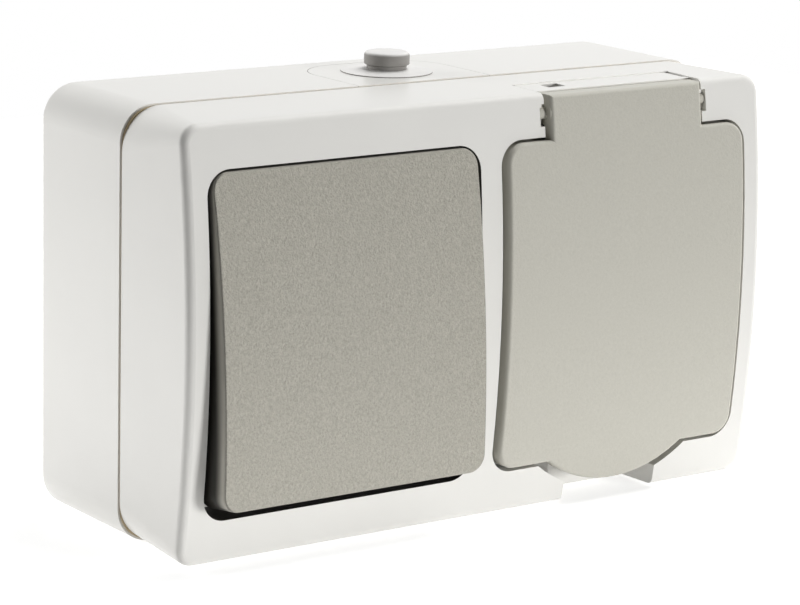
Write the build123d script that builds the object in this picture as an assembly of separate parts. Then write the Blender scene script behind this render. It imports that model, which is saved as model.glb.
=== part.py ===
from build123d import *
import math
import os

# Surface-mounted switch and socket combination, millimetres.
# Origin at the middle of the back face on the wall, X right, Z up, front towards -Y.
# A depth is a distance from the wall, so a point at depth d has Y = -d.

# Housing
width = 138.0
height = 84.0
box_depth = 29.6
cover_depth = 23.4
parting_gap = 0.5
corner_radius = 7.0
cover_corner_radius = 8.2
front_corner_radius = 2.7
cover_step = 0.2
cover_draft = 1.0
box_wall = 2.4
back_wall = 2.5
cover_wall = 2.2
front_wall = 2.5
back_edge_radius = 1.2
front_edge_radius = 1.5
face_radius = 258.0
lip_depth = 3.0
lip_wall = 1.4
lip_clearance = 0.2

# Sealing strip in the parting line
seal_inset = 0.45
seal_width = 1.0
seal_sunk = 1.0

# Wells for the rocker and the lid
mullion = 4.9
side_margin = 5.1
end_margin = 8.95
well_corner = 5.0
well_wall = 1.6
well_floor = 2.0
rocker_well_depth = 11.5
lid_well_depth = 8.0

# Wall slots in the back of the box
slot_width = 4.5
slot_length = 8.0
slot_end_margin = 11.0

# Cable entry in the top wall
entry_width = 31.6
entry_back = 4.8
entry_corner = 10.0
entry_gap = 0.15
entry_flange = 1.8
entry_flange_thickness = 1.5
entry_centre = 16.5
entry_hole_radius = 6.0
grommet_flange_radius = 9.2
grommet_flange_height = 0.6
grommet_foot_radius = 4.0
grommet_foot_height = 1.0
grommet_nipple_radius = 4.55
grommet_nipple_height = 2.4
grommet_membrane = 1.0
grommet_bore_radius = 2.9
grommet_tail_radius = 7.4
grommet_tail_height = 1.5
grommet_squeeze = 0.05

# Screws
cover_screw_inset = 4.6
cover_screw_radius = 2.0
cover_screw_length = 29.0
cover_head_radius = 3.0
cover_head_height = 2.2
cover_head_sunk = 1.5
boss_radius = 4.0
insert_screw_radius = 1.75
insert_screw_length = 8.0
insert_head_radius = 3.1
insert_head_height = 2.0
terminal_screw_radius = 1.5
terminal_screw_length = 6.0
terminal_head_radius = 2.5
terminal_head_height = 1.8
screw_slot_width = 0.8
screw_slot_depth = 0.9
screw_clearance = 0.05
screw_hole_clearance = 0.3

# Switch and socket bodies
base_side_margin = 6.9
base_end_margin = 9.1
base_corner = 6.0
base_ear_radius = 4.0
base_ear_thickness = 4.0
base_ear_margin = 4.4
post_radius = 3.6

# Rocker
rocker_proud = 3.05
rocker_gap = 1.05
rocker_end_gap = 1.75
rocker_draft = 3.0
rocker_corner = 3.4
rocker_wall = 1.8
rocker_face_wall = 2.0
rocker_edge_radius = 0.5
rocker_skirt_below = 6.5
rocker_tilt = 5.2
pivot_below = 13.5

# Rocking carrier and its pivot
carrier_width = 14.4
carrier_length = 16.0
carrier_above_pivot = 3.0
carrier_below_pivot = 3.5
carrier_side_clearance = 0.3
trunnion_radius = 2.45
trunnion_length = 2.6
pivot_clearance = 0.05
stem_radius = 3.5
stem_length = 12.5
pin_radius = 2.1
pin_length = 6.0
pin_clearance = 0.2
contact_spring_wire = 0.5
contact_spring_turns = 6
pad_length = 10.6
pad_rib = 1.6
clip_width = 10.0
clip_thickness = 1.6
clip_hook = 0.6
clip_hook_height = 1.0
clip_clearance = 0.2

# Switch neck and contacts
neck_wall = 3.0
neck_end_wall = 2.0
neck_length = 24.0
neck_above_pivot = 4.0
neck_clearance = 0.6
neck_collar = 1.5
neck_collar_height = 2.0
switch_seal_width = 3.5
switch_seal_height = 4.5
contact_below_pivot = 18.0
contact_tilt = 7.0
contact_width = 5.0
contact_length = 17.0
contact_thickness = 1.2
contact_arm = 7.0
rivet_radius = 1.5
rivet_height = 0.6
contact_air = 0.12
contact_shaft_radius = 0.6
contact_shaft_clearance = 0.08
cheek_thickness = 0.8
cheek_clearance = 0.25
strip_thickness = 1.0
strip_width = 6.0
cavity_below_contact = 8.0
terminal_size = 7.0
terminal_height = 9.0
terminal_reach = 17.0
terminal_clearance = 0.6
terminal_sunk = 2.0

# Plug pot
pot_radius = 19.5
pot_depth = 17.5
pot_wall = 2.0
pot_floor_thickness = 2.5
pot_rim_height = 4.0
pot_flange_radius = 26.0
pot_flange_thickness = 1.5
pot_collar_radius = 23.0
pot_hole_clearance = 0.25
pot_seal_thickness = 1.0
pin_pitch = 19.0
pin_hole_radius = 2.75
pin_hole_lead = 0.8
guide_rib_width = 5.0
guide_rib_height = 2.0
pot_screw_radius = 2.0
pot_screw_length = 16.0
pot_head_radius = 3.4
pot_head_height = 2.0
pot_head_sunk = 0.8

# Socket contacts
socket_base_height = 22.0
sleeve_radius = 3.6
sleeve_bore = 2.5
sleeve_length = 13.0
sleeve_top_below = 2.0
sleeve_slit = 0.8
sleeve_slit_foot = 2.0
socket_terminal_reach = 17.5
strap_width = 5.0
strap_thickness = 0.8
strap_below_pot = 3.0
strap_clearance = 0.4
clip_stand_in = 1.2
clip_bulge = 1.7
clip_rise = 13.5
clip_tip = 2.5
clip_head_room = 2.0
earth_terminal_reach = 11.5

# Lid
lid_proud = 1.15
lid_gap = 1.05
lid_top_gap = 0.55
lid_bottom_gap = 0.85
lid_corner = 4.0
lid_thickness = 2.5
lid_wall = 1.8
lid_skirt_below = 5.5
lid_edge_radius = 0.8
lid_open = 105.0
tab_radius = 28.0
tab_drop = 5.65
tab_gap = 1.8
finger_width = 23.3
finger_depth = 13.0
finger_ceiling = 3.0
seal_ring_inner = 20.2
seal_ring_outer = 23.0
seal_ring_gap = 0.3
seal_ring_height = 1.5

# Lid hinge
tongue_width = 37.9
tongue_gap = 0.9
tongue_below_top = 0.25
hinge_below_top = 4.4
hinge_below_face = 1.4748
hinge_barrel_radius = 2.3
hinge_sweep_clearance = 0.2
peg_radius = 1.2
peg_length = 1.75
peg_clearance = 0.06
pocket_width = 1.1
pocket_above = 2.0
pocket_below = 2.3
pocket_depth = 1.0
cheek_wall = 2.6
shoulder_clearance = 0.45
strip_step = 0.2
strip_edge = 0.35
strip_slit = 0.8
strip_slit_right = 5.5
strip_length = 13.7
access_slot_width = 4.3
access_slot_length = 3.2
access_slot_side = 5.9
access_slot_back = 1.3
spring_room = 9.0
spring_radius = 1.4
spring_wire = 0.6
spring_turns = 5
spring_pitch = 0.75
spring_core_clearance = 0.25
spring_cover_leg = 3.2
spring_lid_leg = 4.0
spring_leg_clearance = 0.0789

# Worked-out places
front_depth = box_depth + parting_gap + cover_depth
cover_back = box_depth + parting_gap
cover_width = width - 2 * cover_step
cover_height = height - 2 * cover_step
top = cover_height / 2
front_inset = cover_depth * math.tan(math.radians(cover_draft))
well_width = (width - 2 * side_margin - mullion) / 2
well_height = height - 2 * end_margin
device_x = (mullion + well_width) / 2
rocker_floor = front_depth - rocker_well_depth
lid_floor = front_depth - lid_well_depth
pivot = front_depth - pivot_below
pot_rim = lid_floor + pot_rim_height
pot_floor = pot_rim - pot_depth
pot_back = pot_floor - pot_floor_thickness
base_rear = pot_back - socket_base_height
base_width = well_width - 2 * base_side_margin
base_height = well_height - 2 * base_end_margin
ear_pitch = well_width / 2 - base_ear_margin
switch_front = rocker_floor - well_floor - switch_seal_height
contact_axis = pivot - contact_below_pivot
cavity_floor = contact_axis - cavity_below_contact
neck_top = pivot + neck_above_pivot
neck_room = carrier_width + 2 * carrier_side_clearance
neck_width = neck_room + 2 * neck_wall
neck_height = neck_length + 2 * neck_end_wall
cover_screw_x = device_x + well_width / 2 - cover_screw_inset
cover_screw_z = well_height / 2 - cover_screw_inset
hinge_z = top - hinge_below_top
face_at_hinge = front_depth - face_radius + math.sqrt(face_radius ** 2 - hinge_z ** 2)
hinge = face_at_hinge - hinge_below_face
lid_apex = front_depth + lid_proud
lid_back = lid_apex - lid_thickness
lid_top = well_height / 2 - lid_top_gap
lid_bottom = -well_height / 2 + lid_bottom_gap
lid_width = well_width - 2 * lid_gap
tongue_top = top - front_inset - tongue_below_top
notch_half = tongue_width / 2 + tongue_gap
tab_low = lid_bottom - tab_drop
tab_centre = tab_low + tab_radius
strap_depth = pot_back - strap_below_pot
strip_back = front_depth - strip_length


def slab(outline, near, far):
    """A front-view outline made solid between two depths."""
    return extrude(Plane.XZ.offset(near) * outline, far - near)


def rounded(wide, tall, radius, x=0.0, z=0.0):
    """A rounded rectangle in the front view."""
    return Pos(x, z) * RectangleRounded(wide, tall, radius)


def block(x0, x1, z0, z1, near, far):
    """A plain block between two depths."""
    outline = Pos((x0 + x1) / 2, (z0 + z1) / 2) * Rectangle(x1 - x0, z1 - z0)
    return slab(outline, near, far)


def rod(x, z, radius, near, far):
    """A round rod that points at the wall."""
    return slab(Pos(x, z) * Circle(radius), near, far)


def cross_rod(x0, x1, depth, z, radius):
    """A round rod along X."""
    low_end = (Align.CENTER, Align.CENTER, Align.MIN)
    return Plane.YZ.offset(x0) * Pos(-depth, z) * Cylinder(radius, x1 - x0, align=low_end)


def barrel(apex, radius=face_radius):
    """Everything behind the barrel-shaped face whose crown lies at the given depth."""
    return Plane.YZ * Pos(radius - apex, 0) * Cylinder(radius, 2 * width)


def top_slab(outline, low, high):
    """A plan-view outline made solid between two heights."""
    return extrude(Plane.XY.offset(low) * outline, high - low)


def turned(shape, depth, z, degrees):
    """A piece turned about a hinge line along X."""
    return shape.rotate(Axis((0, -depth, z), (1, 0, 0)), degrees)


def screw(x, z, seat, head_radius, head_height, radius, length):
    """A slotted cheese-head screw whose head sits at the given depth."""
    body = rod(x, z, head_radius, seat, seat + head_height)
    body += rod(x, z, radius, seat - length, seat)
    slot_floor = seat + head_height - screw_slot_depth
    slot = Pos(x, z) * Rectangle(2 * head_radius, screw_slot_width)
    return body - slab(slot, slot_floor, seat + head_height)


def seal_ring(low, high):
    """The strip's path round the parting line, between two depths."""
    outer = rounded(width - 2 * seal_inset, height - 2 * seal_inset, corner_radius - seal_inset)
    inset = seal_inset + seal_width
    inner = rounded(width - 2 * inset, height - 2 * inset, corner_radius - inset)
    return slab(outer - inner, low, high)


def corners(x, z):
    """The four points at plus and minus x and z."""
    return [(sx * x, sz * z) for sx in (-1, 1) for sz in (-1, 1)]


def entry_outline(grow):
    """The U of the cable entry in plan view, grown by a margin, open towards the front."""
    back = -(entry_back - grow)
    length = box_depth + 2 * entry_corner
    radius = entry_corner + grow
    return Pos(0, back - length / 2) * RectangleRounded(entry_width + 2 * grow, length, radius)


def ear_places():
    """Screw places of the ears on both bases."""
    return [(side * device_x + ear * ear_pitch, 0.0) for side in (-1, 1) for ear in (-1, 1)]


def back_box():
    body = slab(rounded(width, height, corner_radius), 0, box_depth)
    body = fillet(body.faces().sort_by(Axis.Y)[-1].edges(), back_edge_radius)
    inside = rounded(width - 2 * box_wall, height - 2 * box_wall, corner_radius - box_wall)
    body -= slab(inside, back_wall, box_depth)
    for x, z in corners(cover_screw_x, cover_screw_z):
        body += rod(x, z, boss_radius, back_wall / 2, box_depth)
        body -= rod(x, z, cover_screw_radius + screw_clearance, back_wall, box_depth)
    for x, z in ear_places():
        body += rod(x, z, post_radius, back_wall / 2, base_rear)
        screw_end = base_rear + base_ear_thickness - insert_screw_length
        body -= rod(x, z, insert_screw_radius + screw_clearance, screw_end - screw_clearance, base_rear)
    body -= seal_ring(box_depth - seal_sunk, box_depth)
    body -= top_slab(entry_outline(0), height / 2 - 2 * box_wall, height)
    slot_z = height / 2 - slot_end_margin
    for x, z in corners(device_x, slot_z):
        body -= slab(Pos(x, z) * SlotOverall(slot_length, slot_width), 0, back_wall)
    return body


def entry_plate():
    wall_foot = height / 2 - box_wall
    flange_foot = wall_foot - entry_flange_thickness
    flange_end = cover_back - lip_depth - parting_gap
    plug = top_slab(entry_outline(-entry_gap), wall_foot, height / 2)
    plug &= block(-width, width, 0, height, 0, box_depth)
    flange = top_slab(entry_outline(entry_flange), flange_foot, wall_foot)
    flange &= block(-width, width, 0, height, 0, flange_end)
    body = plug + flange
    body -= seal_ring(box_depth - seal_sunk, box_depth)
    hole = Pos(0, -entry_centre) * Circle(entry_hole_radius)
    return body - top_slab(hole, flange_foot, height / 2)


def entry_grommet():
    roof = height / 2
    tail_top = roof - box_wall - entry_flange_thickness
    foot_top = roof + grommet_flange_height + grommet_foot_height
    nipple_top = foot_top + grommet_nipple_height
    waist = entry_hole_radius - grommet_squeeze
    outline = Polyline(
        (0, nipple_top),
        (grommet_nipple_radius, nipple_top),
        (grommet_nipple_radius, foot_top),
        (grommet_foot_radius, foot_top - grommet_foot_height / 3),
        (grommet_foot_radius, roof + grommet_flange_height),
        (grommet_flange_radius, roof + grommet_flange_height / 3),
        (grommet_flange_radius, roof),
        (waist, roof),
        (waist, tail_top),
        (grommet_tail_radius, tail_top),
        (waist, tail_top - grommet_tail_height),
        (grommet_bore_radius, tail_top - grommet_tail_height),
        (grommet_bore_radius, nipple_top - grommet_membrane),
        (0, nipple_top - grommet_membrane),
        close=True,
    )
    body = revolve(Plane.XZ * make_face(outline), Axis.Z)
    rims = body.edges().filter_by(GeomType.CIRCLE).group_by(Axis.Z)
    body = fillet(rims[-1], grommet_nipple_height / 3)
    return Pos(0, -entry_centre) * body


def box_seal():
    return seal_ring(box_depth - seal_sunk, cover_back)


def cover_envelope():
    """The cover's outer form: drafted walls whose corners tighten towards a barrel face."""
    rear = rounded(cover_width, cover_height, cover_corner_radius)
    front = rounded(cover_width - 2 * front_inset, cover_height - 2 * front_inset, front_corner_radius)
    body = loft([Plane.XZ.offset(cover_back) * rear, Plane.XZ.offset(front_depth) * front], ruled=True)
    body &= barrel(front_depth)
    return fillet(body.faces().sort_by(Axis.Y)[0].edges(), front_edge_radius)


def roof(depth):
    """Height of the cover's drafted top wall at a depth."""
    return top - (depth - cover_back) * math.tan(math.radians(cover_draft))


def roof_cut(x0, x1, near, far, sunk):
    """Everything above the drafted top wall less a margin, between two depths."""
    outline = Polyline(
        (-near, roof(near) - sunk),
        (-far, roof(far) - sunk),
        (-far, height),
        (-near, height),
        close=True,
    )
    return Pos(x0, 0, 0) * extrude(Plane.YZ * make_face(outline), x1 - x0)


def tab_segment(grow):
    """The round grip tab's outline below the lid's straight edge, grown by a margin."""
    disc = Pos(device_x, tab_centre) * Circle(tab_radius + grow)
    reach = tab_radius + grow
    below = Pos(device_x, lid_bottom - reach / 2) * Rectangle(2 * reach, reach + 2 * lid_bottom_gap)
    return disc & below


def hinge_sweep():
    """Farthest reach of the lid's tongue from its hinge line, at its rounded front edge."""
    edge_z = tongue_top - lid_edge_radius
    edge_depth = barrel_depth(edge_z) + lid_proud - lid_edge_radius
    return math.hypot(edge_depth - hinge, edge_z - hinge_z) + lid_edge_radius


def strip_front():
    """Depth of the strip's front edge, where it clears the tongue's swing."""
    room = hinge_sweep() + hinge_sweep_clearance
    under = roof(hinge) - strip_step - strip_edge - hinge_z
    return hinge - math.sqrt(room ** 2 - under ** 2)


def well(side, grow, near, far):
    """A well's outline, grown by a margin, between two depths."""
    outline = rounded(well_width + 2 * grow, well_height + 2 * grow, well_corner + grow, side * device_x)
    return slab(outline, near, far)


def hinge_notch():
    """Room for the lid's tongue: open to the front, rounded behind the hinge line."""
    x0 = device_x - notch_half
    x1 = device_x + notch_half
    room = hinge_sweep() + hinge_sweep_clearance
    notch = cross_rod(x0, x1, hinge, hinge_z, room)
    notch += block(x0, x1, well_height / 2 - well_wall, hinge_z, hinge - room, front_depth)
    notch += block(x0, x1, hinge_z, height, strip_front(), front_depth)
    for side in (-1, 1):
        inner = device_x + side * (notch_half - pocket_width)
        outer = device_x + side * (notch_half + pocket_width)
        low, high = sorted((inner, outer))
        face = barrel_depth(hinge_z)
        notch += block(low, high, hinge_z - pocket_below, hinge_z + pocket_above,
                       face - pocket_depth, front_depth)
        notch += cross_rod(low, high, hinge, hinge_z, peg_radius + peg_clearance)
    slit_floor = top - cover_wall
    notch += block(x0, x0 + strip_slit, slit_floor, height, strip_back, front_depth)
    notch += block(x1 - strip_slit, x1, slit_floor, height, strip_back, strip_back + strip_slit_right)
    return notch


def barrel_depth(z):
    """Depth of the cover's face at a height."""
    return front_depth - face_radius + math.sqrt(face_radius ** 2 - z ** 2)


def front_cover():
    envelope = cover_envelope()
    inside = rounded(cover_width - 2 * cover_wall, cover_height - 2 * cover_wall,
                     cover_corner_radius - cover_wall)
    shell = envelope - (slab(inside, cover_back, front_depth) & barrel(front_depth - front_wall))

    far = front_depth + rocker_proud
    room = hinge_sweep() + hinge_sweep_clearance
    hinge_half = notch_half + pocket_width + cheek_wall / 2
    finger_half = finger_width / 2
    finger_top = tab_low + finger_ceiling
    finger_back = front_depth - finger_depth
    solid = well(-1, well_wall, rocker_floor - well_floor, far)
    solid += well(1, well_wall, lid_floor - well_floor, far)
    solid += block(device_x - hinge_half, device_x + hinge_half, well_height / 2, height,
                   hinge - room - well_wall, far)
    solid += slab(tab_segment(tab_gap + well_wall), lid_floor - well_floor, far)
    solid += block(device_x - finger_half - well_wall, device_x + finger_half + well_wall,
                   -height, finger_top + well_wall, finger_back - well_wall, far)
    body = shell + (solid & envelope)

    lip_width = width - 2 * (box_wall + lip_clearance)
    lip_height = height - 2 * (box_wall + lip_clearance)
    lip_corner = corner_radius - box_wall
    lip_hole = rounded(lip_width - 2 * lip_wall, lip_height - 2 * lip_wall, lip_corner - lip_wall)
    lip = rounded(lip_width, lip_height, lip_corner) - lip_hole
    body += slab(lip, cover_back - lip_depth, cover_back)
    shoulder = rounded(cover_width - cover_wall, cover_height - cover_wall,
                       cover_corner_radius - cover_wall / 2)
    body += slab(shoulder - lip_hole, cover_back, cover_back + lip_wall)

    for x, z in corners(cover_screw_x, cover_screw_z):
        floor = rocker_floor if x < 0 else lid_floor
        body += rod(x, z, boss_radius, box_depth, floor - well_floor)

    body -= well(-1, 0, rocker_floor, far)
    body -= well(1, 0, lid_floor, far)
    body -= slab(tab_segment(tab_gap), lid_floor, far)
    body -= block(device_x - finger_half, device_x + finger_half, -height, finger_top, finger_back, far)
    body -= hinge_notch()

    body -= roof_cut(device_x - notch_half, device_x + notch_half, strip_back, front_depth, strip_step)
    slot_x = device_x - notch_half + access_slot_side
    slot_far = strip_back + access_slot_back + access_slot_length
    body -= block(slot_x, slot_x + access_slot_width, top - cover_wall, height,
                  strip_back + access_slot_back, slot_far)

    collar = rounded(neck_width + 2 * (neck_clearance + neck_collar),
                     neck_height + 2 * (neck_clearance + neck_collar), neck_collar, -device_x)
    neck_hole = rounded(neck_width + 2 * neck_clearance, neck_height + 2 * neck_clearance,
                        neck_clearance, -device_x)
    body += slab(collar, rocker_floor - well_floor, rocker_floor + neck_collar_height)
    body -= slab(neck_hole, rocker_floor - well_floor, rocker_floor + neck_collar_height)
    body -= rod(device_x, 0, pot_radius + pot_wall + pot_hole_clearance, lid_floor - well_floor, lid_floor)

    for x, z in corners(cover_screw_x, cover_screw_z):
        floor = rocker_floor if x < 0 else lid_floor
        body -= rod(x, z, cover_screw_radius + screw_hole_clearance, box_depth, floor)
        body -= rod(x, z, cover_head_radius + screw_hole_clearance, floor - cover_head_sunk, floor)
    return body


def cover_screws():
    solids = []
    for x, z in corners(cover_screw_x, cover_screw_z):
        floor = rocker_floor if x < 0 else lid_floor
        solids.append(screw(x, z, floor - cover_head_sunk, cover_head_radius, cover_head_height,
                            cover_screw_radius, cover_screw_length))
    return Compound(children=solids)


def rocker():
    apex = front_depth + rocker_proud
    wide = well_width - 2 * rocker_gap
    tall = well_height - 2 * rocker_end_gap
    skirt = front_depth - rocker_skirt_below
    face = Plane.XZ.offset(apex) * rounded(wide, tall, rocker_corner, -device_x)
    body = extrude(face, skirt - apex, taper=-rocker_draft) & barrel(apex)
    body = fillet(body.faces().sort_by(Axis.Y)[0].edges(), rocker_edge_radius)
    inside = rounded(wide - 2 * rocker_wall, tall - 2 * rocker_wall, rocker_corner - rocker_wall, -device_x)
    body -= slab(inside, skirt, apex) & barrel(apex - rocker_face_wall)
    seat = pivot + carrier_above_pivot
    left = -device_x - clip_width / 2
    right = -device_x + clip_width / 2
    hook_top = pivot - carrier_below_pivot - clip_clearance
    pads = block(left, left + pad_rib, -pad_length / 2, pad_length / 2, seat, apex)
    pads += block(right - pad_rib, right, -pad_length / 2, pad_length / 2, seat, apex)
    for side in (-1, 1):
        inner = side * (carrier_length / 2 + clip_clearance)
        outer = inner + side * clip_thickness
        low, high = sorted((inner, outer))
        pads += block(left, right, low, high, hook_top - clip_hook_height, apex)
        low, high = sorted((side * (carrier_length / 2 - clip_hook), outer))
        pads += block(left, right, low, high, hook_top - clip_hook_height, hook_top)
    body += pads & barrel(apex - rocker_face_wall / 2)
    return turned(body, pivot, 0, -rocker_tilt)


def actuator():
    half = carrier_width / 2
    head_low = pivot - carrier_below_pivot
    body = block(-device_x - half, -device_x + half, -carrier_length / 2, carrier_length / 2,
                 head_low, pivot + carrier_above_pivot)
    body += cross_rod(-device_x - half - trunnion_length, -device_x + half + trunnion_length,
                      pivot, 0, trunnion_radius)
    body += rod(-device_x, 0, stem_radius, pivot - stem_length, head_low)
    body -= rod(-device_x, 0, pin_radius + pin_clearance, pivot - stem_length, head_low)
    return turned(body, pivot, 0, -rocker_tilt)


def pin_tip():
    """Depth of the pin's tip with the rocker level."""
    return contact_axis + contact_thickness / 2 + contact_air


def contact_pin():
    ball = pin_tip() + pin_radius
    body = rod(-device_x, 0, pin_radius, ball, pin_tip() + pin_length)
    body += Pos(-device_x, -ball, 0) * Sphere(pin_radius)
    return turned(body, pivot, 0, -rocker_tilt)


def coil(radius, wire, pitch, turns):
    """A round-wire helix that rises along its own Z axis."""
    path = Helix(pitch=pitch, height=pitch * turns, radius=radius)
    section = Plane(origin=path @ 0, z_dir=path % 0) * Circle(wire / 2)
    return sweep(section, path=path)


def contact_spring():
    wire = contact_spring_wire
    seat = pin_tip() + pin_length
    room = pivot - carrier_below_pivot - seat - wire
    body = coil(pin_radius - wire / 2, wire, room / contact_spring_turns, contact_spring_turns)
    body = Plane.XZ.offset(seat + wire / 2) * Pos(-device_x, 0) * body
    return turned(body, pivot, 0, -rocker_tilt)


def contact_plate():
    half = contact_thickness / 2
    body = block(-device_x - contact_width / 2, -device_x + contact_width / 2,
                 -contact_length / 2, contact_length / 2, contact_axis - half, contact_axis + half)
    reach = contact_width / 2 + cheek_clearance + cheek_thickness
    body += cross_rod(-device_x - reach, -device_x + reach, contact_axis, 0, contact_shaft_radius)
    for z in (-contact_arm, contact_arm):
        body += rod(-device_x, z, rivet_radius, contact_axis - half - rivet_height, contact_axis - half)
    return turned(body, contact_axis, 0, contact_tilt)


def fixed_contact_face():
    """Depth of the fixed contacts' faces, just clear of the closed rivet."""
    tilt = math.radians(contact_tilt)
    rivet_end = contact_thickness / 2 + rivet_height
    reach = contact_arm + rivet_radius
    return contact_axis - rivet_end * math.cos(tilt) - reach * math.sin(tilt) - contact_air


def terminal_block(x, z, foot):
    """A brass clamp block with its screw hole."""
    half = terminal_size / 2
    body = block(x - half, x + half, z - half, z + half, foot, foot + terminal_height)
    hole_foot = foot + terminal_height - terminal_screw_length - screw_clearance
    return body - rod(x, z, terminal_screw_radius + screw_clearance, hole_foot, foot + terminal_height)


def switch_terminal_foot():
    return cavity_floor - terminal_sunk


def side_terminal(side):
    """A fixed contact of the switch, above or below the see-saw."""
    z = side * terminal_reach
    low, high = sorted((side * (contact_arm - strip_width / 2), z))
    face = fixed_contact_face() - rivet_height
    strip = block(-device_x - strip_width / 2, -device_x + strip_width / 2, low, high,
                  face - strip_thickness, face)
    body = strip + terminal_block(-device_x, z, switch_terminal_foot())
    hole_foot = switch_terminal_foot() + terminal_height - terminal_screw_length - screw_clearance
    body -= rod(-device_x, z, terminal_screw_radius + screw_clearance, hole_foot,
                switch_terminal_foot() + terminal_height)
    return body + rod(-device_x, side * contact_arm, rivet_radius, face, face + rivet_height)


def upper_terminal():
    return side_terminal(1)


def lower_terminal():
    return side_terminal(-1)


def common_terminal():
    x = -device_x + terminal_reach
    inner = contact_width / 2 + cheek_clearance
    outer = inner + cheek_thickness
    half = terminal_size / 4
    body = block(-device_x - outer, x, -half, half, cavity_floor, cavity_floor + strip_thickness)
    for low, high in ((-outer, -inner), (inner, outer)):
        body += block(-device_x + low, -device_x + high, -half, half,
                      cavity_floor, contact_axis + contact_shaft_radius / 2)
    notch = contact_shaft_radius + contact_shaft_clearance
    body -= cross_rod(-device_x - outer, -device_x + outer, contact_axis, 0, notch)
    body -= block(-device_x - outer, -device_x + outer, -notch, notch, contact_axis,
                  contact_axis + contact_shaft_radius)
    body += terminal_block(x, 0, switch_terminal_foot())
    return body


def base_body(x, front):
    """A moulded insert body with a screw ear on either side."""
    body = slab(rounded(base_width, base_height, base_corner, x), base_rear, front)
    ears = Pos(x, 0) * SlotOverall(2 * (ear_pitch + base_ear_radius), 2 * base_ear_radius)
    body += slab(ears, base_rear, base_rear + base_ear_thickness)
    for side in (-1, 1):
        body -= rod(x + side * ear_pitch, 0, insert_screw_radius + screw_hole_clearance,
                    base_rear, base_rear + base_ear_thickness)
        body -= rod(x + side * ear_pitch, 0, insert_head_radius + screw_hole_clearance,
                    base_rear + base_ear_thickness, front)
    return body


def switch_base():
    body = base_body(-device_x, switch_front)
    body += slab(rounded(neck_width, neck_height, neck_clearance, -device_x), switch_front, neck_top)
    body -= slab(rounded(neck_room, neck_length, neck_clearance, -device_x), cavity_floor, neck_top)
    pocket = terminal_size / 2 + terminal_clearance
    foot = switch_terminal_foot()
    for x, z in ((0, -terminal_reach), (0, terminal_reach), (terminal_reach, 0)):
        body -= block(x - device_x - pocket, x - device_x + pocket, z - pocket, z + pocket,
                      foot, switch_front)
    strip_pocket = strip_width / 2 + terminal_clearance
    body -= block(-device_x - strip_pocket, -device_x + strip_pocket, -terminal_reach, terminal_reach,
                  cavity_floor, switch_front)
    body -= block(-device_x, -device_x + terminal_reach, -strip_pocket, strip_pocket,
                  cavity_floor, switch_front)
    half = neck_room / 2 + neck_wall
    body -= cross_rod(-device_x - half, -device_x + half, pivot, 0, trunnion_radius + pivot_clearance)
    return body


def switch_seal():
    outer = rounded(neck_width + 2 * switch_seal_width, neck_height + 2 * switch_seal_width,
                    switch_seal_width, -device_x)
    inner = rounded(neck_width + 2 * screw_clearance, neck_height + 2 * screw_clearance,
                    neck_clearance, -device_x)
    return slab(outer - inner, switch_front, rocker_floor - well_floor)


def terminal_screws(places):
    """Clamp screws at (x, z, seat) places."""
    solids = [screw(x, z, seat, terminal_head_radius, terminal_head_height, terminal_screw_radius,
                    terminal_screw_length) for x, z, seat in places]
    return Compound(children=solids)


def switch_terminal_screws():
    seat = switch_terminal_foot() + terminal_height
    return terminal_screws([
        (-device_x, terminal_reach, seat),
        (-device_x, -terminal_reach, seat),
        (-device_x + terminal_reach, 0, seat),
    ])


def insert_screws():
    seat = base_rear + base_ear_thickness
    solids = [screw(x, z, seat, insert_head_radius, insert_head_height, insert_screw_radius,
                    insert_screw_length) for x, z in ear_places()]
    return Compound(children=solids)


def socket_face():
    flange_foot = lid_floor + pot_seal_thickness
    body = rod(device_x, 0, pot_radius + pot_wall, pot_back, pot_rim)
    body += rod(device_x, 0, pot_collar_radius, flange_foot, pot_rim)
    body += rod(device_x, 0, pot_flange_radius, flange_foot, flange_foot + pot_flange_thickness)
    body -= rod(device_x, 0, pot_radius, pot_floor, pot_rim)
    for side in (-1, 1):
        inner = device_x + side * (pot_radius - guide_rib_height)
        outer = device_x + side * (pot_radius + pot_wall / 2)
        low, high = sorted((inner, outer))
        body += block(low, high, -guide_rib_width / 2, guide_rib_width / 2, pot_floor, pot_rim - pot_wall)
        x = device_x + side * pin_pitch / 2
        body -= rod(x, 0, pin_hole_radius, pot_back, pot_floor)
        lead = Plane.XZ.offset(pot_floor) * Pos(x, 0) * Circle(pin_hole_radius + pin_hole_lead)
        body -= extrude(lead, -pin_hole_lead, taper=45)
        clip_inner = side * (pot_radius - clip_stand_in - strap_thickness - strap_clearance)
        clip_outer = side * (pot_radius + pot_wall / 2)
        low, high = sorted((clip_inner, clip_outer))
        half = strap_width / 2 + strap_clearance
        body -= block(device_x - half, device_x + half, low, high, pot_back,
                      strap_depth + clip_rise + 2 * clip_tip + clip_head_room)
    body -= rod(device_x, 0, pot_screw_radius + screw_hole_clearance, pot_back, pot_floor)
    body -= rod(device_x, 0, pot_head_radius + screw_hole_clearance, pot_floor - pot_head_sunk, pot_floor)
    return body


def socket_seal():
    ring = Circle(pot_flange_radius) - Circle(pot_radius + pot_wall + pot_hole_clearance)
    return slab(Pos(device_x, 0) * ring, lid_floor, lid_floor + pot_seal_thickness)


def socket_terminal_foot():
    return pot_back - sleeve_top_below - sleeve_length - strip_thickness


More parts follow.
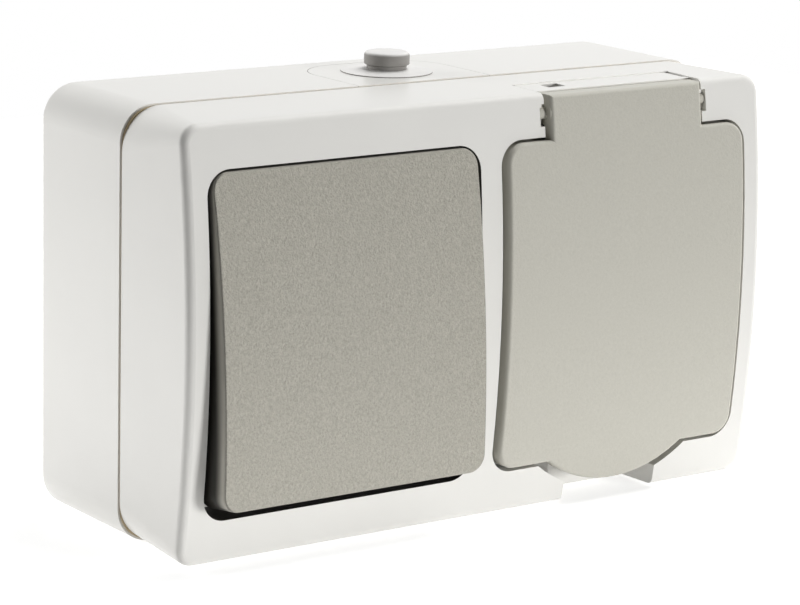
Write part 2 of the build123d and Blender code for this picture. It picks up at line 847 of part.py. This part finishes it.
def socket_base():
    body = base_body(device_x, pot_back)
    pocket = terminal_size / 2 + terminal_clearance
    foot = socket_terminal_foot()
    far_end = socket_terminal_reach + pocket
    for side in (-1, 1):
        body -= rod(device_x + side * pin_pitch / 2, 0, sleeve_radius + terminal_clearance, foot, pot_back)
        low, high = sorted((side * pin_pitch / 2, side * far_end))
        body -= block(device_x + low, device_x + high, -pocket, pocket, foot, pot_back)
    groove = strap_width / 2 + strap_clearance
    strap_foot = strap_depth - strap_thickness / 2
    strap_end = pot_radius - clip_stand_in + strap_clearance
    body -= block(device_x - groove, device_x + groove, -strap_end, strap_end, strap_foot, pot_back)
    body -= block(device_x - pocket, device_x + pocket, earth_terminal_reach - pocket,
                  earth_terminal_reach + pocket, strap_foot - terminal_height, pot_back)
    screw_end = pot_floor - pot_head_sunk - pot_screw_length
    return body - rod(device_x, 0, pot_screw_radius + screw_clearance, screw_end, pot_back)


def pin_terminal(side):
    """A slit pin sleeve on a strip with its clamp block."""
    x = device_x + side * pin_pitch / 2
    block_x = device_x + side * socket_terminal_reach
    foot = socket_terminal_foot()
    body = rod(x, 0, sleeve_radius, foot, foot + strip_thickness + sleeve_length)
    low, high = sorted((x, block_x))
    body += block(low, high, -strip_width / 2, strip_width / 2, foot, foot + strip_thickness)
    body -= rod(x, 0, sleeve_bore, foot + strip_thickness, foot + strip_thickness + sleeve_length)
    body -= block(x - sleeve_slit / 2, x + sleeve_slit / 2, -sleeve_radius, sleeve_radius,
                  foot + strip_thickness + sleeve_slit_foot, foot + strip_thickness + sleeve_length)
    return body + terminal_block(block_x, 0, foot)


def live_terminal():
    return pin_terminal(1)


def neutral_terminal():
    return pin_terminal(-1)


def earth_strap():
    """A band under the pot with a bulged spring clip standing up at either end."""
    stand = pot_radius - clip_stand_in - strap_thickness / 2
    rise = strap_depth + clip_rise
    half_path = [
        (-rise - 2 * clip_tip, stand),
        (-rise - clip_tip, stand - clip_bulge),
        (-rise, stand),
        (-strap_depth, stand),
    ]
    other_half = [(y, -z) for y, z in reversed(half_path)]
    band = trace(Polyline(*half_path, *other_half), strap_thickness)
    body = Pos(device_x - strap_width / 2, 0, 0) * extrude(Plane.YZ * band, strap_width)
    foot = strap_depth - strap_thickness / 2 - terminal_height
    body += terminal_block(device_x, earth_terminal_reach, foot)
    seat = strap_depth + strap_thickness / 2
    body -= rod(device_x, earth_terminal_reach, terminal_screw_radius + screw_clearance,
                seat - terminal_screw_length - screw_clearance, seat)
    return body - rod(device_x, 0, pot_screw_radius + screw_hole_clearance, foot, seat)


def socket_terminal_screws():
    seat = socket_terminal_foot() + terminal_height
    return terminal_screws([
        (device_x - socket_terminal_reach, 0, seat),
        (device_x + socket_terminal_reach, 0, seat),
        (device_x, earth_terminal_reach, strap_depth + strap_thickness / 2),
    ])


def pot_screw():
    seat = pot_floor - pot_head_sunk
    return screw(device_x, 0, seat, pot_head_radius, pot_head_height, pot_screw_radius, pot_screw_length)


def lid_panel():
    """The lid's straight-edged main outline."""
    return rounded(lid_width, lid_top - lid_bottom, lid_corner, device_x, (lid_top + lid_bottom) / 2)


def lid():
    half = tongue_width / 2
    tongue_tall = tongue_top - lid_top + lid_corner
    tongue = Pos(device_x, tongue_top - tongue_tall / 2) * Rectangle(tongue_width, tongue_tall)
    outline = lid_panel() + tongue + tab_segment(0)
    far = lid_apex + lid_thickness
    plate = slab(outline, lid_back - lid_skirt_below, far) & barrel(lid_apex)
    plate = fillet(plate.faces().sort_by(Axis.Y)[0].edges(), lid_edge_radius)
    plate -= barrel(lid_back)
    head = cross_rod(device_x - half, device_x + half, hinge, hinge_z, hinge_sweep())
    head &= block(device_x - half, device_x + half, hinge_z, tongue_top, hinge - hinge_sweep(), far)
    plate += head & barrel(lid_back + lid_thickness / 2)

    skirt_end = front_depth - lid_skirt_below
    inner = rounded(lid_width - 2 * lid_wall, lid_top - lid_bottom - 2 * lid_wall, lid_corner - lid_wall,
                    device_x, (lid_top + lid_bottom) / 2)
    skirt = slab(lid_panel() - inner, skirt_end, far) & barrel(lid_back + lid_thickness / 2)
    skirt -= block(device_x - half, device_x + half, lid_top - 2 * lid_wall, height, skirt_end, far)
    swing = math.hypot(barrel_depth(well_height / 2) - hinge, well_height / 2 - hinge_z)
    for side in (-1, 1):
        low, high = sorted((device_x + side * half, device_x + side * lid_width))
        skirt -= cross_rod(low, high, hinge, hinge_z, swing + shoulder_clearance)
        plate -= cross_rod(low, high, hinge, hinge_z, swing + shoulder_clearance)
    body = plate + skirt

    ring_foot = pot_rim + seal_ring_gap + seal_ring_height
    ring = Circle(seal_ring_outer + lid_wall / 2) - Circle(seal_ring_inner - lid_wall / 2)
    ring = Pos(device_x, 0) * ring
    body += slab(ring, ring_foot, far) & barrel(lid_back + lid_thickness / 2)
    body -= slab(ring, skirt_end, ring_foot)

    body += cross_rod(device_x - half, device_x + half, hinge, hinge_z, hinge_barrel_radius)
    room = spring_room / 2
    pocket = spring_radius + spring_wire / 2 + spring_core_clearance
    body -= cross_rod(device_x - room, device_x + room, hinge, hinge_z, pocket)
    body -= block(device_x - room, device_x + room, hinge_z - hinge_barrel_radius, hinge_z,
                  hinge - hinge_barrel_radius, hinge)
    core = spring_radius - spring_wire / 2 - spring_core_clearance
    body += cross_rod(device_x - room, device_x + room, hinge, hinge_z, core)
    for start in (device_x - half - peg_length, device_x + half):
        body += cross_rod(start, start + peg_length, hinge, hinge_z, peg_radius)
    return body


def lid_seal():
    foot = pot_rim + seal_ring_gap
    ring = Circle(seal_ring_outer) - Circle(seal_ring_inner)
    return slab(Pos(device_x, 0) * ring, foot, foot + seal_ring_height)


def lid_spring():
    """Torsion spring round the hinge core, one leg to the lid and one to the cover."""
    length = spring_pitch * spring_turns
    start = device_x - length / 2
    body = Plane.YZ.offset(start) * Pos(-hinge, hinge_z) * coil(
        spring_radius, spring_wire, spring_pitch, spring_turns)
    room = hinge_sweep() + hinge_sweep_clearance
    cover_end = (hinge - room + spring_wire, hinge_z - spring_cover_leg)
    lid_z = hinge_z - spring_lid_leg
    lid_face = barrel_depth(lid_z) - front_depth + lid_back
    lid_end = (lid_face - spring_leg_clearance - spring_wire / 2, lid_z)
    for x, (depth, z) in ((start, cover_end), (start + length, lid_end)):
        root = Vector(x, -hinge + spring_radius, hinge_z)
        tip = Vector(x, -depth, z)
        leg = Plane(origin=root, z_dir=tip - root) * Circle(spring_wire / 2)
        body += extrude(leg, (tip - root).length)
        body += Pos(*root) * Sphere(spring_wire / 2)
    return body


NODES = [
    back_box, entry_plate, entry_grommet, box_seal, front_cover, cover_screws,
    rocker, actuator, contact_pin, contact_spring, contact_plate,
    common_terminal, upper_terminal, lower_terminal, switch_base, switch_seal, switch_terminal_screws,
    insert_screws, lid, lid_seal, lid_spring,
    socket_face, socket_seal, socket_base, live_terminal, neutral_terminal, earth_strap,
    socket_terminal_screws, pot_screw,
]

os.makedirs("parts", exist_ok=True)
for make in NODES:
    export_step(make(), f"parts/{make.__name__}.step")
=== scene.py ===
# %% [markdown]
# # A switch and socket combination for damp rooms
# The imported model already holds every piece at its real size and place, in metres.
# This lesson dresses it: it sets the camera where the photographer stood, gives each piece
# the finish of its own material, and lights it like a product on a white table.
# The box measured here, before anything is added, gives the height of the table.

# %% Load the model
import math
import bmesh
import bpy
from mathutils import Matrix, Vector


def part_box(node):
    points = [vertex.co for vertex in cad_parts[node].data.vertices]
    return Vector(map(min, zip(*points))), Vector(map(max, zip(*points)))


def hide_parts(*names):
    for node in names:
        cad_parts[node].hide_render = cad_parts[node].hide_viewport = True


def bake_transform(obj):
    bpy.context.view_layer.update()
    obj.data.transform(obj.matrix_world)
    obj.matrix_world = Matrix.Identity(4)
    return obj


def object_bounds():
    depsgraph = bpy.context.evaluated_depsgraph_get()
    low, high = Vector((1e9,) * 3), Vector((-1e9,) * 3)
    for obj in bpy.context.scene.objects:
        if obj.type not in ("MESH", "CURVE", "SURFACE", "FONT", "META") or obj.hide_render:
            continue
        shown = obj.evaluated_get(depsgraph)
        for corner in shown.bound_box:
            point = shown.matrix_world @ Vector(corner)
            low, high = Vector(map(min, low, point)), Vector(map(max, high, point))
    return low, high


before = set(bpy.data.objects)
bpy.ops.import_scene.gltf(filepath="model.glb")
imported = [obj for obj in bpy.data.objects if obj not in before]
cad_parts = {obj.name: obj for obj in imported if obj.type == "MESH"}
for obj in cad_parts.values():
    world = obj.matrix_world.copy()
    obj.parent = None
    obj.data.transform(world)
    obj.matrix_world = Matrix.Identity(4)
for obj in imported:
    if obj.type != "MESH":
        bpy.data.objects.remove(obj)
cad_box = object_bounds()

scene = bpy.context.scene

# %% [markdown]
# ## Where the photographer stood
# The unit is seen from its left and a little from above, through a long lens, so that its
# parallel edges stay almost parallel. A camera could be aimed with a Track To constraint, but
# that can't lean to one side. Here the viewing direction is worked out from three angles, and
# the camera's own right, up and back axes become the columns of its matrix.

# %% Viewing direction
CAMERA_YAW = math.radians(35.673)
CAMERA_PITCH = math.radians(12.792)
CAMERA_LEAN = math.radians(1.476)

forward = Vector((
    math.sin(CAMERA_YAW) * math.cos(CAMERA_PITCH),
    math.cos(CAMERA_YAW) * math.cos(CAMERA_PITCH),
    -math.sin(CAMERA_PITCH),
))
level_right = Vector((math.cos(CAMERA_YAW), -math.sin(CAMERA_YAW), 0))
level_up = level_right.cross(forward)
right = math.cos(CAMERA_LEAN) * level_right + math.sin(CAMERA_LEAN) * level_up
up = math.cos(CAMERA_LEAN) * level_up - math.sin(CAMERA_LEAN) * level_right
print("camera looks along", tuple(round(v, 3) for v in forward))

# %% Camera
CAMERA_PLACE = Vector((-0.36976, -0.53822, 0.14011))
CAMERA_LENS, FILM_WIDTH = 146.13, 36
FARTHEST_SEEN = 20

lens = bpy.data.cameras.new("photo_camera")
lens.sensor_fit = "HORIZONTAL"
lens.sensor_width = FILM_WIDTH
lens.lens = CAMERA_LENS
lens.clip_end = FARTHEST_SEEN
camera = bpy.data.objects.new("photo_camera", lens)
scene.collection.objects.link(camera)
turn = Matrix((right, up, -forward)).transposed().to_4x4()
camera.matrix_world = Matrix.Translation(CAMERA_PLACE) @ turn
scene.camera = camera
print("lens of", CAMERA_LENS, "mm,", round(CAMERA_PLACE.length, 3), "m from the wall's middle")

# %% [markdown]
# ## Shader sums in plain Python
# Every finish below is a little sum of noise patterns. Drawn as nodes, such a sum soon fills
# the screen. This class wraps one output of a node, so that adding or multiplying two of them
# adds a Math node, and one method makes any other node from its settings and its inputs.

# %% Shader helper
class Wire:
    """One output of a shader node, which can be used in sums."""

    def __init__(self, socket):
        self.socket = socket

    def node(self, kind, settings, inputs, output=0):
        """Add a node to this wire's tree and give back one of its outputs."""
        tree = self.socket.id_data
        made = tree.nodes.new(kind)
        for name, value in settings.items():
            setattr(made, name, value)
        for name, value in inputs.items():
            if isinstance(value, Wire):
                tree.links.new(value.socket, made.inputs[name])
            else:
                made.inputs[name].default_value = value
        return Wire(made.outputs[output])

    def sum(self, operation, first, second):
        """A Math node on two wires or numbers."""
        return self.node("ShaderNodeMath", {"operation": operation}, {0: first, 1: second})

    def __add__(self, other):
        return self.sum("ADD", self, other)

    def __sub__(self, other):
        return self.sum("SUBTRACT", self, other)

    def __rsub__(self, other):
        return self.sum("SUBTRACT", other, self)

    def __mul__(self, other):
        return self.sum("MULTIPLY", self, other)

    __radd__ = __add__
    __rmul__ = __mul__

    def feed(self, shader, name):
        """Join this wire to an input of the surface shader."""
        self.socket.id_data.links.new(self.socket, shader.inputs[name])


# %% [markdown]
# A finish always starts the same way: a Principled surface with a plain roughness, and the
# piece's own coordinates in metres. Patterns read those coordinates, so they stay on the
# plastic when a piece moves. A pattern's size is given in millimetres. The same node also
# gives the piece's own normal, which tells a face from a wall.

# %% Starting a finish
def finish(name, roughness):
    """A new material: its surface shader and the wire of its own coordinates."""
    material = bpy.data.materials.new(name)
    material.use_nodes = True
    tree = material.node_tree
    surface = tree.nodes["Principled BSDF"]
    surface.inputs["Roughness"].default_value = roughness
    place = Wire(tree.nodes.new("ShaderNodeTexCoord").outputs["Object"])
    return material, surface, place


def normal(place):
    """The piece's own normal, from the node that gives its coordinates."""
    return Wire(place.socket.node.outputs["Normal"])


def dress(material, *names):
    """Give CAD nodes a finish."""
    for name in names:
        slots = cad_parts[name].data.materials
        slots.clear()
        slots.append(material)
    print(material.name, "on", ", ".join(names))


# %% [markdown]
# Four small patterns go into every finish: soft noise, a colour between two, a slope from one
# number to another, and a bump. Each could be a node group, but a function is easier to read.

# %% Patterns
def cloud(place, size_mm, detail=2.0):
    """Soft noise whose blotches are about the given size, from 0 to 1."""
    return place.node("ShaderNodeTexNoise", {},
                      {"Vector": place, "Scale": 1000 / size_mm, "Detail": detail})


def mixed(amount, first, second):
    """One colour or the other, by a wire from 0 to 1. Sockets 6 and 7 take the colours."""
    return amount.node("ShaderNodeMix", {"data_type": "RGBA"},
                       {0: amount, 6: first, 7: second}, output=2)


def tint(amount, dark, light):
    """A colour between two plain ones."""
    return mixed(amount, (*dark, 1), (*light, 1))


def slope(value, low, high, top=1.0, shape="LINEAR"):
    """A wire that goes from 0 at low to top at high, and stays level beyond both."""
    return value.node("ShaderNodeMapRange", {"interpolation_type": shape},
                      {0: value, 1: low, 2: high, 3: 0.0, 4: top})


def relief(height, depth_mm):
    """A bump of the given depth."""
    return height.node("ShaderNodeBump", {},
                       {"Height": height, "Distance": depth_mm / 1000, "Strength": 1.0})


# %% [markdown]
# ## White housing
# Box, cover and entry plate are moulded in white plastic from a polished steel mould. It is
# almost even in colour, and what tells it from paint is a soft gloss that changes a little
# from place to place, and the very shallow waviness of a moulded wall. Both come from noise,
# one large pattern for the sheen and one fine one for the skin.
# The narrow gap round the rocker gets painted shade: a dark colour on the upright walls of the
# well, where shade falls. It lies in the rocker's own box with its gap added, near the front,
# and where the normal doesn't point to the front. A painted mask would need a picture, so a few
# comparisons make this one.

# %% Painted shade in the well
# Painted shade: the dark colour that stands for shade in the gaps.
PAINTED_SHADE = (0.03, 0.028, 0.024, 1)
GAP_BESIDE, GAP_ABOVE = 0.0016, 0.0028
DEEPEST_SHADE = -0.038
WALL_TURN = 0.5


def split(wire):
    """The three parts of a vector wire."""
    first = wire.node("ShaderNodeSeparateXYZ", {}, {0: wire})
    return [Wire(part) for part in first.socket.node.outputs]


def within(value, low, high):
    """A wire that is 1 between two numbers and 0 elsewhere."""
    return value.sum("GREATER_THAN", value, low) * value.sum("LESS_THAN", value, high)


def with_painted_shade(colour, amount):
    """A colour with painted shade over it, as much as a wire from 0 to 1 says."""
    return mixed(amount, colour, PAINTED_SHADE)


def well_painted_shade(place):
    """Painted shade on the upright walls of the rocker's well."""
    low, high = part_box("rocker")
    across, inward, upward = split(place)
    to_front = split(normal(place))[1]
    return (within(across, low[0] - GAP_BESIDE, high[0] + GAP_BESIDE)
            * within(upward, low[2] - GAP_ABOVE, high[2] + GAP_ABOVE)
            * within(inward, low[1], DEEPEST_SHADE)
            * within(to_front, -WALL_TURN, WALL_TURN))


# %% White plastic
SHEEN_MM, SKIN_MM, SKIN_DEPTH_MM = 18, 1.2, 0.004

white, surface, place = finish("housing_white", 0.3)
sheen = cloud(place, SHEEN_MM)
# Painted shade on the well's walls, which are also rougher there.
well_shade = well_painted_shade(place)
unshaded_white = tint(sheen, (0.78, 0.771, 0.738), (0.82, 0.811, 0.777))
with_painted_shade(unshaded_white, well_shade).feed(surface, "Base Color")
(0.25 + 0.12 * sheen + 0.4 * well_shade).feed(surface, "Roughness")
relief(cloud(place, SKIN_MM), SKIN_DEPTH_MM).feed(surface, "Normal")
dress(white, "back_box", "front_cover", "entry_plate")

# %% [markdown]
# ## Grained grey faces
# Rocker and lid have a fine spark-eroded grain on their faces, which scatters light so that
# they look matte, while their side walls came out of the mould smooth. The piece's own normal
# tells the two apart: it points to the front on a face. The grain is the sum of a fine and a
# finer noise, and it drives the colour and the bump together. The rocker is given darker
# colours and a deeper grain than the lid, so one function makes both.
# The rocker's walls get painted shade too, darker the further they lie below its curved face.
# The face is a parabola over the height, so three numbers give the depth below it at any point.
# A thin line of painted shade marks the crease where the grain ends at its left and right
# edges.

# %% Painted shade on the rocker's walls
ROCKER_FACE = (-0.05659, 0.0856, 1.957)
SHADE_STARTS, SHADE_FULL = 0.0005, 0.0032
CREASE_FROM, CREASE_TO, CREASE_SHADE = 0.08, 0.45, 0.4


def wall_painted_shade(place, face, sideways, face_line):
    """Painted shade on the walls below a curved face, and in the crease beside it."""
    middle, lean, curve = face_line
    inward, upward = split(place)[1:]
    below = inward - (middle + lean * upward + curve * upward * upward)
    deep = slope(below, SHADE_STARTS, SHADE_FULL, shape="SMOOTHSTEP")
    crease = within(sideways * sideways, CREASE_FROM, CREASE_TO)
    return deep * (1 - face) + CREASE_SHADE * crease


# %% Grey plastic
GRAIN_MM, FINER_GRAIN_MM = 0.6, 0.3
FACE_STARTS, FACE_FULL = -0.6, -0.9


def grained(name, dark, light, depth_mm, contrast, face_line=None):
    """A grey moulding whose faces carry a grain of the given depth."""
    material, surface, place = finish(name, 0.5)
    surface.inputs["Specular IOR Level"].default_value = 0.25
    sideways, facing = split(normal(place))[:2]
    face = slope(facing, FACE_STARTS, FACE_FULL)
    grain = 0.6 * cloud(place, GRAIN_MM, 1) + 0.4 * cloud(place, FINER_GRAIN_MM, 1)
    colour = tint(0.5 + face * contrast * (grain - 0.5), dark, light)
    # The rocker's walls and crease take painted shade here.
    if face_line:
        colour = with_painted_shade(colour, wall_painted_shade(place, face, sideways, face_line))
    colour.feed(surface, "Base Color")
    (0.4 + 0.2 * face).feed(surface, "Roughness")
    relief(face * grain, depth_mm).feed(surface, "Normal")
    return material


rocker_grey = grained("rocker_grey", (0.362, 0.348, 0.302), (0.492, 0.474, 0.416),
                      depth_mm=0.20, contrast=2.1, face_line=ROCKER_FACE)
lid_grey = grained("lid_grey", (0.513, 0.500, 0.442), (0.588, 0.574, 0.512),
                   depth_mm=0.06, contrast=1.2)
dress(rocker_grey, "rocker")
dress(lid_grey, "lid", "socket_face")

# %% [markdown]
# ## Soft pieces
# The grommet, the strip in the parting line and the gaskets are rubber. Rubber has a dull
# skin with a fine tooth, so its roughness is high and its bump is small. The grommet's upward
# skin is painted pale, as painted light from above, and its upright nipple is painted dark, as
# painted shade. The normal tells them apart, because the pale skin points up.

# %% Rubber
BLOOM_MM, TOOTH_MM, TOOTH_DEPTH_MM = 2.5, 0.4, 0.01


def rubber(name, dark, light, roughness):
    """A dull elastic skin between two close colours."""
    material, surface, place = finish(name, roughness)
    tint(cloud(place, BLOOM_MM), dark, light).feed(surface, "Base Color")
    relief(cloud(place, TOOTH_MM), TOOTH_DEPTH_MM).feed(surface, "Normal")
    return material


strip = rubber("strip_tan", (0.42, 0.33, 0.20), (0.52, 0.42, 0.27), 0.6)
gasket = rubber("gasket_black", (0.035, 0.035, 0.035), (0.05, 0.05, 0.05), 0.55)
dress(strip, "box_seal")
dress(gasket, "switch_seal", "lid_seal", "socket_seal")

# %% Grommet
# Painted light on the grommet's upward skin, painted shade on its upright nipple.
LIT_STARTS, LIT_FULL, LIT_MOST = 0.3, 0.9, 0.85
NIPPLE_SHADED, TOP_LIT = (0.20, 0.19, 0.176), (0.86, 0.85, 0.83)

grommet, surface, place = finish("grommet_grey", 0.45)
upright = split(normal(place))[2]
lit_from_above = slope(upright, LIT_STARTS, LIT_FULL, top=LIT_MOST)
tint(lit_from_above + 0.15 * cloud(place, BLOOM_MM), NIPPLE_SHADED, TOP_LIT).feed(surface, "Base Color")
relief(cloud(place, TOOTH_MM), TOOTH_DEPTH_MM).feed(surface, "Normal")
dress(grommet, "entry_grommet")

# %% [markdown]
# ## Inner mouldings and metal
# The carrier is natural nylon and the two bases are a pale hard moulding. Contacts are
# stamped brass, a little darker where they have been handled, and screws, springs and the
# earth strap are zinc-plated steel. Only an open lid shows some of them.

# %% Inner mouldings
def moulding(name, dark, light, size_mm, roughness):
    """A pale plastic between two close colours."""
    material, surface, place = finish(name, roughness)
    tint(cloud(place, size_mm), dark, light).feed(surface, "Base Color")
    return material


nylon = moulding("carrier_nylon", (0.68, 0.68, 0.64), (0.76, 0.76, 0.72), 4, 0.4)
thermoset = moulding("base_moulding", (0.50, 0.49, 0.45), (0.58, 0.57, 0.53), 3, 0.5)
dress(nylon, "actuator", "contact_pin")
dress(thermoset, "switch_base", "socket_base")


# %% Metal
def metal(name, dark, light, size_mm, smoothest):
    """A metal whose darker blotches are also smoother."""
    material, surface, place = finish(name, smoothest)
    surface.inputs["Metallic"].default_value = 1
    blotch = cloud(place, size_mm)
    tint(blotch, dark, light).feed(surface, "Base Color")
    (smoothest + 0.2 * blotch).feed(surface, "Roughness")
    return material


brass = metal("contact_brass", (0.62, 0.44, 0.18), (0.80, 0.62, 0.30), 3, 0.22)
zinc = metal("plated_steel", (0.55, 0.56, 0.58), (0.68, 0.68, 0.68), 1.5, 0.25)
dress(brass, "contact_plate", "common_terminal", "upper_terminal", "lower_terminal",
      "live_terminal", "neutral_terminal")
dress(zinc, "cover_screws", "insert_screws", "switch_terminal_screws", "socket_terminal_screws",
      "pot_screw", "contact_spring", "lid_spring", "earth_strap")

# %% [markdown]
# ## The lid's spring
# A torsion spring shuts the lid. One leg leans on the cover and the other on the lid, and the
# turns between them wind up as the lid opens. A stiff spring would leave the lid's leg behind.
# A copy of its mesh stands in for the spring.
# The model's meshes are loose triangles, so the copy has its double points merged, and its
# round wire is shaded smooth up to the sharp rims at its ends.

# %% Spring wire
MERGE_WITHIN = 1e-6
SHARP_RIM = math.radians(40)

wire_mesh = bpy.data.meshes.new("lid_spring_wound")
wire = bmesh.new()
wire.from_mesh(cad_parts["lid_spring"].data)
bmesh.ops.remove_doubles(wire, verts=wire.verts, dist=MERGE_WITHIN)
for face in wire.faces:
    face.smooth = True
wire.to_mesh(wire_mesh)
wire.free()
wire_mesh.set_sharp_from_angle(angle=SHARP_RIM)
wire_mesh.materials.append(zinc)
print("spring wire has", len(wire_mesh.polygons), "faces")

wound = bpy.data.objects.new("lid_spring_wound", wire_mesh)
scene.collection.objects.link(wound)
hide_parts("lid_spring")
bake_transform(wound)

# %% [markdown]
# ## White table
# The photograph has a plain white ground, and its light rises softly from below: the lower
# edges of the faces are lighter than the upper ones. A small white table top does that. It
# glows a little, as a light table does, and ends not far in front of the object, so that its
# light reaches the lower parts most. To the camera it glows more, so that it comes out white
# while its shadow stays, and the world beyond it is white to the camera and dark as a lamp.

# %% Table top
TABLE_LEFT, TABLE_RIGHT = -0.22, 0.45
TABLE_FRONT, TABLE_BACK = -0.16, 0.40

table_height = cad_box[0][2]
floor_mesh = bpy.data.meshes.new("floor")
floor = bpy.data.objects.new("floor", floor_mesh)
scene.collection.objects.link(floor)
sheet = bmesh.new()
bmesh.ops.create_grid(sheet, x_segments=1, y_segments=1, size=0.5)
bmesh.ops.scale(sheet, verts=sheet.verts,
                vec=(TABLE_RIGHT - TABLE_LEFT, TABLE_BACK - TABLE_FRONT, 1))
middle = ((TABLE_LEFT + TABLE_RIGHT) / 2, (TABLE_FRONT + TABLE_BACK) / 2, table_height)
bmesh.ops.translate(sheet, verts=sheet.verts, vec=middle)
sheet.to_mesh(floor_mesh)
sheet.free()
print("table top at", round(table_height, 4))

# %% Its glow, and the white room
TABLE_GLOW, TABLE_SEEN = 0.315, 0.62


def seen_directly(tree):
    """A wire that is 1 for rays from the camera and for mirrored or refracted ones."""
    path = tree.nodes.new("ShaderNodeLightPath").outputs
    camera_ray = Wire(path["Is Camera Ray"])
    most = camera_ray.sum("MAXIMUM", camera_ray, Wire(path["Is Glossy Ray"]))
    return most.sum("MAXIMUM", most, Wire(path["Is Transmission Ray"]))


pale, surface = finish("floor_white", 0.9)[:2]
surface.inputs["Base Color"].default_value = (0.85, 0.85, 0.85, 1)
surface.inputs["Emission Strength"].default_value = 1
extra = (TABLE_SEEN - TABLE_GLOW) * seen_directly(pale.node_tree)
(TABLE_GLOW + extra).feed(surface, "Emission Color")
floor_mesh.materials.append(pale)

world = bpy.data.worlds.new("white_room")
scene.world = world
world.use_nodes = True
background = world.node_tree.nodes["Background"]
background.inputs["Color"].default_value = (1, 1, 1, 1)
seen_directly(world.node_tree).feed(background, "Strength")
print("table glows with", TABLE_GLOW, "and is seen with", TABLE_SEEN)

# %% [markdown]
# ## Studio lamps
# A lamp stands to the right in front, low down, so that the rocker shades the strip on its
# left. One stands behind on the left for the side and the back, and one hangs overhead. None
# is so strong that white plastic clips, seen from any side. Their mirror images would be hard
# bright bands in the rounded edges, where the real unit shows soft shade, so those are turned
# off, as a photographer does with a polariser, and the gloss shows the white room instead.

# %% Lamps
LAMP_AIM = Vector((0, -0.03, 0))


def lamp(name, place, size, watts):
    """A square soft lamp that faces the middle of the object."""
    light = bpy.data.lights.new(name, "AREA")
    light.size = size
    light.energy = watts
    holder = bpy.data.objects.new(name, light)
    scene.collection.objects.link(holder)
    holder.location = place
    holder.visible_glossy = False
    holder.rotation_euler = (LAMP_AIM - Vector(place)).to_track_quat("-Z", "Y").to_euler()
    print(name, watts, "W")


lamp("front_right", (1.0, -1.73, 0.2), 0.4, 25.6)
lamp("left_behind", (-0.75, 0.75, 0.15), 0.6, 10.1)
lamp("overhead", (0.42, 0.05, 0.9), 0.7, 9.5)
scene.view_settings.view_transform = "Standard"
